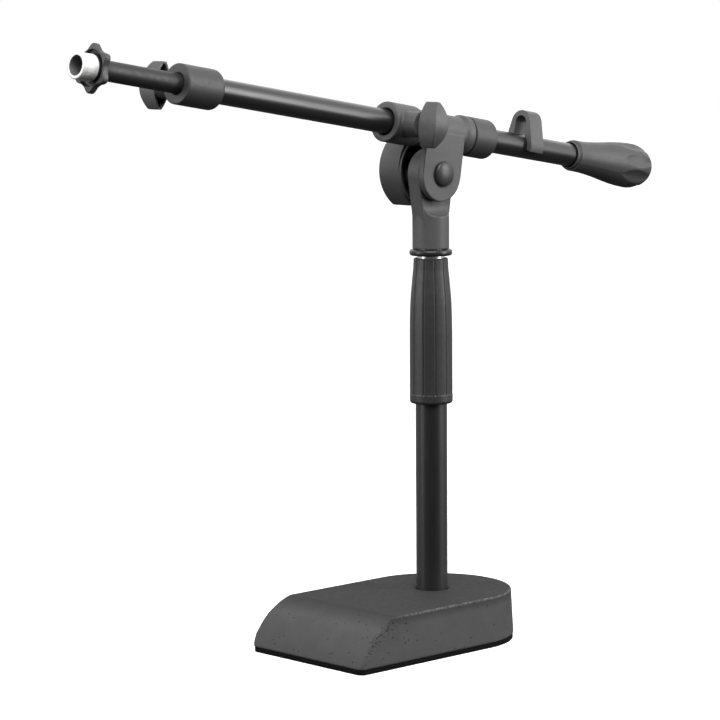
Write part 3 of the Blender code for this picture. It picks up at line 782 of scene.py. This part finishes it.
def make_tension_knob():
    knob = knob_shape(
        lens(15.7, 20.1, 7.0, 1.2, 22),
        lens(15.55, 18.5, 6.0, 1.2, 22),
        rim_deep=1.9,
        near=10.5,
        face=30.8,
        crown=0.7,
        wall=1.6,
        edge=1.1,
        hub_r=9.5,
        hub_near=7.2,
        hole_r=6.7,
    )
    shape = moved(knob, Matrix.Rotation(TENSION_TURN, 4, "Y") @ Matrix.Scale(-1, 4, (0, 1, 0)))
    bmesh.ops.recalc_face_normals(shape, faces=shape.faces)
    build("tilt_tension_knob", shape, PIVOT, "tilt_knob", "knob_plastic", ["tension_knob"])


def make_pivot_bolt():
    angles = [math.pi / 2 * i / 10 for i in range(11)]
    dome = [(8.0 * math.sin(a), 12.2 + 3.0 * math.cos(a)) for a in angles]
    shank = [(7.9, 11.8), (7.5, 11.6), (4.0, 11.6), (4.0, -21.6), (3.6, -22.0), (0, -22.0)]
    bolt = moved(lathe(dome + shank), ALONG_Y)
    nodes = ["pivot_bolt"]
    looks = {"finish": "bolt_paint"}
    build("pivot_bolt_head", bolt, PIVOT, "boom_holder", "clamp_casting", nodes, **looks)


# ---------------------------------------------------------------- clamp


def make_clamp():
    waist, spigot, lip = 11.1, 10.4, 8.4
    barrel = [(0, 44.8), (CLAMP_R - 0.5, 44.8), (CLAMP_R, 44.3), (CLAMP_R, 23), (waist, 18)]
    barrel += [(waist, -17.2), (CLAMP_R, -19.6), (CLAMP_R, -24.6), (spigot, -24.6)]
    barrel += [(spigot, -36), (0, -36)]
    centre = (BOOM_OFFSET + EAR_SHIFT, EAR_SHIFT)
    round_end = arc(centre, CLAMP_EAR_R, -math.pi / 2, math.pi / 2, 60)
    ear = round_end + [(1.5, EAR_SHIFT + CLAMP_EAR_R), (1.5, EAR_SHIFT - CLAMP_EAR_R)]
    bore = [(0, -60), (CLAMP_BORE_R, -60), (CLAMP_BORE_R, 43.8), (lip, 43.8)]
    bore += [(lip, 60), (0, 60)]
    at_pivot = Matrix.Translation((BOOM_OFFSET, 0, 0)) @ ALONG_Y
    at_screw = Matrix.Translation((0, 0, CLAMP_SCREW_AT)) @ ALONG_Y
    steps = [
        ("UNION", extruded(ear, 6.8, 11.3)),
        ("UNION", moved(cylinder(BOSS_R, 6, CLAMP_BOSS_END - CLAMP_BOSS_SHORT), at_screw)),
        ("DIFFERENCE", lathe(bore)),
        ("DIFFERENCE", moved(cylinder(SCREW_HOLE_R, 4, 30), at_screw)),
        ("DIFFERENCE", moved(cylinder(BOLT_HOLE_R, 0, 20), at_pivot)),
    ]
    clamp = cast(combined(lathe(barrel), steps))
    build("boom_clamp_body", clamp, BOOM, "boom_holder", "clamp_casting", ["boom_clamp"])
    collar = [(CLAMP_R, -25.6), (CLAMP_R, -44.1), (CLAMP_BORE_R, -44.1), (CLAMP_BORE_R, -36.4)]
    collar += [(10.7, -36.4), (10.7, -25.6)]
    ring = lathe(rounded(collar, 0.9, True, 5), True)
    nodes = ["clamp_end_collar"]
    build("clamp_rear_collar", ring, BOOM, "boom_holder", "black_plastic", nodes)
    # The liner takes the near-black nylon finish, which is painted shade for the dark gap round the tube in the
    # clamp's mouth.
    sleeve = [(9.0, 43.6), (9.0, -43.0), (7.85, -43.0), (7.85, 41.5), (8.3, 43.3)]
    liner = lathe(rounded(sleeve, 0.3, True), True)
    build("liner", liner, BOOM, "boom_liner", "nylon", ["clamp_liner"])


# ---------------------------------------------------------------- boom


def make_tubes():
    outer = [(TUBE_R, -150), (TUBE_R, 210), (6.3, 210), (6.3, -150)]
    tube = lathe(rounded(outer, 0.3, True), True)
    build("outer_tube", tube, BOOM, "boom", "black_tube", ["boom_outer_tube"])
    inner = [(INNER_R, 56), (INNER_R, 274), (4.9, 274), (4.9, 56)]
    tube = lathe(rounded(inner, 0.3, True), True)
    nodes = ["boom_inner_tube"]
    build("inner_tube", tube, BOOM, "extension", "black_tube", nodes, finish="thin_tube_paint")


def make_sleeve():
    barrel = [(0, SLEEVE_FRONT), (SLEEVE_R - 0.2, SLEEVE_FRONT), (SLEEVE_R, SLEEVE_FRONT - 0.2)]
    barrel += [(SLEEVE_R, 187.6), (11.5, 186.3), (10.4, SLEEVE_REAR), (0, SLEEVE_REAR)]
    at_screw = Matrix.Translation((0, 0, SLEEVE_SCREW_AT)) @ ALONG_Y
    bore = [(0, 230), (6.3, 230), (6.3, 210.3), (7.85, 210.3), (7.85, 170), (0, 170)]
    steps = [
        ("UNION", moved(cylinder(BOSS_R, SLEEVE_BOSS_SHORT - SLEEVE_BOSS_END, -6), at_screw)),
        ("DIFFERENCE", lathe(bore)),
        ("DIFFERENCE", moved(cylinder(SCREW_HOLE_R, -30, -4), at_screw)),
    ]
    sleeve = cast(combined(lathe(barrel), steps), rounds=7)
    nodes = ["extension_sleeve"]
    build("extension_clamp", sleeve, BOOM, "boom", "black_plastic", nodes, finish="sleeve_plastic")


def thread_depth(height, turn):
    """How deep the thread is cut: a rounded vee that runs out at both ends."""
    phase = (height / THREAD_PITCH - turn / (2 * math.pi)) % 1.0
    end = TIP_FACE - 1.3
    fade = min(1.0, max(0.0, (height - THREAD_START) / 0.6), max(0.0, (end - height) / 0.6))
    inside = THREAD_START < height < end
    return 0.16 * (1 - math.cos(2 * math.pi * phase)) * fade * inside


def make_thread_adapter():
    face = TIP_FACE
    spigot = [(4.6, 262), (4.6, 274.3), (6.3, 274.3), (6.3, 272)]
    plain = spigot + [(TIP_R - 0.3, 272), (TIP_R, 272.3), (TIP_R, THREAD_START - 0.1)]
    length = face - 1.2 - THREAD_START
    steps = int(length / (THREAD_PITCH / 8))
    cut = [(TIP_R, THREAD_START + length * i / steps) for i in range(steps + 1)]
    mouth = [(TIP_R - 0.05, face - 0.7), (TIP_R - 0.3, face - 0.2), (TIP_R - 0.8, face)]
    mouth += [(6.1, face), (TIP_BORE_R, face - 0.3), (TIP_BORE_R, 277.5)]
    mouth += [(3.4, 275.8), (3.4, 262)]
    rows = []
    for radius, height in plain + cut + mouth:
        cuts = [(a, thread_depth(height, a) if radius == TIP_R else 0.0) for a in all_round(ROUND)]
        rows.append([polar(radius - depth, turn, height) for turn, depth in cuts])
    tip = skin(rows, True)
    build("threaded_tip", tip, BOOM, "extension", "nickel_thread", ["thread_adapter"])


def star_row(height, less):
    """A row of the nut's six lobes, drawn in by less."""
    points = []
    for turn in all_round(FINE):
        lobe = (0.5 + 0.5 * math.cos(6 * turn)) ** 1.4
        points.append(polar(11.6 + 2.8 * lobe - less, turn, height))
    return points


def round_row(radius, height):
    return [polar(radius, turn, height) for turn in all_round(FINE)]


def make_star_nut():
    """A lobed nut with a shallow round dish in its front."""
    rear, front, dish = NUT_REAR, NUT_FRONT, NUT_REAR + 1.6
    edge = [(1.0, 0.0), (0.5, 0.12), (0.15, 0.45), (0.0, 1.0)]
    rows = [round_row(NUT_BORE_R, rear)]
    rows += [star_row(rear + up, less) for less, up in edge]
    rows += [star_row(front - up, less) for less, up in reversed(edge)]
    rows += [round_row(10.9, front), round_row(10.7, front - 0.2), round_row(10.6, dish + 0.2)]
    rows += [round_row(10.4, dish), round_row(NUT_BORE_R, dish)]
    nodes = ["star_lock_nut"]
    build("star_nut", skin(rows, True), BOOM, "lock_nut", "black_plastic", nodes)


# ---------------------------------------------------------------- counterweight and clip


def weight_radius(height):
    """The counterweight's outline: a neck that swells into a bulb with a round end."""
    stations = [(-120, 10.2), (-136.5, 10.2), (-145, 10.9), (-153.5, 11.9), (-161.5, 13.1)]
    stations += [(-169.5, 14.1), (-177, 14.65), (WEIGHT_BULGE, WEIGHT_R)]
    if height <= WEIGHT_BULGE:
        share = (WEIGHT_BULGE - height) / (WEIGHT_BULGE - WEIGHT_END)
        return WEIGHT_R * math.sqrt(max(0.0, 1 - share * share))
    for (high, wide), (low, wider) in zip(stations, stations[1:]):
        if low <= height <= high:
            share = (high - height) / (high - low)
            return wide + (wider - wide) * share
    return WEIGHT_R


def smooth_radius(height):
    """The outline with its corners averaged away, but for the bulb's round end."""
    if height > WEIGHT_BULGE + 4:
        return sum(weight_radius(height + step) for step in (-3, -1.5, 0, 1.5, 3)) / 5
    return weight_radius(height)


def fluted_row(height):
    """One ring of the counterweight, with the flutes that widen and deepen towards its bulb."""
    pitch = 2 * math.pi / FLUTES
    along = max(0.0, (FLUTE_START - height) / (FLUTE_START - WEIGHT_END))
    swell = math.sin(math.pi * min(1.0, along / 0.88) ** 0.85)
    width = pitch / 2 * (0.1 + 0.74 * swell)
    offsets = [-pitch / 2, -pitch / 4 - width / 2]
    offsets += [width * (step - 4) / 4 for step in range(9)] + [pitch / 4 + width / 2]
    radius = smooth_radius(height)
    row = []
    for flute in range(FLUTES):
        centre = pitch * (flute + 0.32)
        for offset in offsets:
            hollow = max(0.0, 1 - (offset / width) ** 2) if abs(offset) <= width else 0.0
            row.append(polar(radius - 1.5 * swell * hollow, centre + offset, height))
    return row


def make_counterweight():
    neck = [-128.2 - 2.4 * i for i in range(16)]
    shoulder = [FLUTE_START - 0.8 * i for i in range(1, 21)]
    bulb_long = WEIGHT_BULGE - WEIGHT_END
    bulb = [WEIGHT_BULGE - bulb_long * math.sin(math.pi / 2 * i / 14) for i in range(14)]
    rows = [fluted_row(round(height, 3)) for height in neck + shoulder + bulb]
    turns = [math.atan2(y, x) for x, y, _ in rows[0]]
    lip = [(7.9, -191.0), (7.9, -131), (8.2, -130.7), (8.2, -125.0), (8.35, -124.7)]
    lip += [(8.6, -124.6), (8.95, -124.7), (9.1, -125.0), (9.1, -126.6), (8.95, -126.9)]
    lip += [(9.0, -127.2), (9.7, -127.3), (10.05, -127.5)]
    mouth = [[polar(radius, turn, height) for turn in turns] for radius, height in lip]
    weight = skin([[(0, 0, -191.0)]] + mouth + rows + [[(0, 0, WEIGHT_END)]])
    nodes = ["counterweight_grip"]
    build("counterweight", weight, BOOM, "boom", "counterweight_plastic", nodes)


def clip_path(seat_r, loop_r, steps, leave=None):
    """The clip's section. It leaves the seat at a tangent to the loop, or at the angle leave."""
    side = math.asin((seat_r - loop_r) / CLIP_RISE)
    last = side if leave is None else leave
    near = arc((0, 0), seat_r, CLIP_LIP, last, steps)
    loop = arc((0, CLIP_RISE), loop_r, side, math.pi - side, steps * 2)
    far = arc((0, 0), seat_r, math.pi - last, math.pi - CLIP_LIP, steps)
    return [(up, across) for across, up in near + loop + far]


def make_clip():
    seat_r = TUBE_R + 0.3
    outside = clip_path(seat_r + 4.2, 8.2, 18)
    inside = clip_path(seat_r, 4.6, 18, math.radians(52))
    outline = outside + inside[::-1]
    rows = [[(-up, across, z) for up, across in outline] for z in (CLIP_REAR, CLIP_FRONT)]
    clip = skin(rows, capped=True)
    looks = {"bevel": 0.55, "finish": "knob_plastic"}
    build("lead_clip_loop", clip, BOOM, "lead_clip", "black_plastic", ["cable_clip"], **looks)


# ---------------------------------------------------------------- inner pieces, stage and camera


def finish_inner_pieces():
    """The hidden pieces keep their CAD shape and take the finish of their record slot."""
    for part in frame["record"]["subparts"]:
        node = frame["nodes"][part["node"]]
        if not node.hide_render:
            node.data.materials.clear()
            node.data.materials.append(MATERIALS[part["material_slot"]])
            node.data.set_sharp_from_angle(angle=math.radians(35))


def floor_material():
    finish = Finish("studio_floor", (0.9, 0.9, 0.9), 0.75)
    finish.shader.inputs["Emission Color"].default_value = (1, 1, 1, 1)
    finish.shader.inputs["Emission Strength"].default_value = 0.45
    finish.tint(finish.noise(400), 0.01)
    finish.sheen_of(finish.noise(60), 0.05)
    return finish.material


def make_floor():
    shape = bmesh.new()
    bmesh.ops.create_grid(shape, x_segments=8, y_segments=8, size=6.0)
    floor = object_of(shape, "studio_floor")
    floor.data.materials.append(floor_material())
    floor.visible_glossy = False
    floor.visible_diffuse = False


def make_world():
    """White studio surroundings, brightest in a belt behind the stand. The camera sees white."""
    world = bpy.data.worlds.new("studio")
    bpy.context.scene.world = world
    world.use_nodes = True
    graph = Graph(world.node_tree)
    way = graph.nodes.new("ShaderNodeTexCoord").outputs["Generated"]
    height = graph.part(way, "Z")
    toward = graph.vector("DOT_PRODUCT", way, VIEW_SIDE)["Value"]
    upper = graph.ramp(height, 0.07, 1.5, -0.35, 0.45, "SMOOTHSTEP")
    zenith = graph.ramp(height, 1.0, 0.3, 0.4, 0.95, "SMOOTHSTEP")
    sides = graph.ramp(toward, 1.0, 0.12, 0.0, 0.9, "SMOOTHSTEP")
    rear = graph.ramp(toward, 1.1, 0.9, -0.95, -0.3, "SMOOTHSTEP")
    glow = graph.both(graph.both(upper, zenith), graph.both(sides, rear))
    mix = graph.nodes.new("ShaderNodeMix")
    mix.inputs["B"].default_value = 1.0
    seen = graph.nodes.new("ShaderNodeLightPath").outputs["Is Camera Ray"]
    graph.link(seen, mix.inputs["Factor"])
    graph.link(glow, mix.inputs["A"])
    background = graph.nodes["Background"]
    background.inputs["Color"].default_value = (1, 1, 1, 1)
    graph.link(mix.outputs["Result"], background.inputs["Strength"])


def make_light(name, place, aim, size, power):
    lamp = bpy.data.lights.new(name, "AREA")
    lamp.shape = "RECTANGLE"
    lamp.size, lamp.size_y = size
    lamp.energy = power
    light = bpy.data.objects.new(name, lamp)
    light.location = place
    light.rotation_euler = (Vector(aim) - Vector(place)).to_track_quat("-Z", "Y").to_euler()
    bpy.context.scene.collection.objects.link(light)


def make_lights():
    middle = (0.02, 0, 0.25)
    make_light("top_softbox", (0.7, 0.75, 1.45), middle, (1.3, 1.0), 31)
    make_light("right_softbox", (-0.9, 1.3, 0.7), middle, (0.5, 1.2), 18)
    make_light("left_softbox", (1.5, -0.7, 0.6), middle, (0.5, 1.2), 8)


def make_camera():
    """The photograph's view: a long lens, level with the stand's middle, from its front corner."""
    data = bpy.data.cameras.new("camera")
    data.sensor_width = 36.0
    data.lens = 150.0
    data.shift_x, data.shift_y = CAMERA_SHIFT
    pan, pitch, roll = map(math.radians, CAMERA_TURNS)
    ahead = Vector(polar(math.cos(pitch), pan, math.sin(pitch)))
    level = ahead.cross(Vector((0, 0, 1))).normalized()
    right = math.cos(roll) * level + math.sin(roll) * level.cross(ahead)
    turn = Matrix((right, right.cross(ahead), -ahead)).transposed().to_quaternion()
    camera = bpy.data.objects.new("camera", data)
    camera.matrix_world = Matrix.LocRotScale(Vector(CAMERA_PLACE), turn, None)
    bpy.context.scene.collection.objects.link(camera)
    bpy.context.scene.camera = camera
    bpy.context.scene.view_settings.view_transform = "Standard"


make_base()
make_post()
make_grip()
make_slide_tube()
make_yoke()
make_wing_knobs()
make_tension_knob()
make_pivot_bolt()
make_clamp()
make_tubes()
make_sleeve()
make_thread_adapter()
make_star_nut()
make_counterweight()
make_clip()
finish_inner_pieces()
make_floor()
make_world()
make_lights()
make_camera()
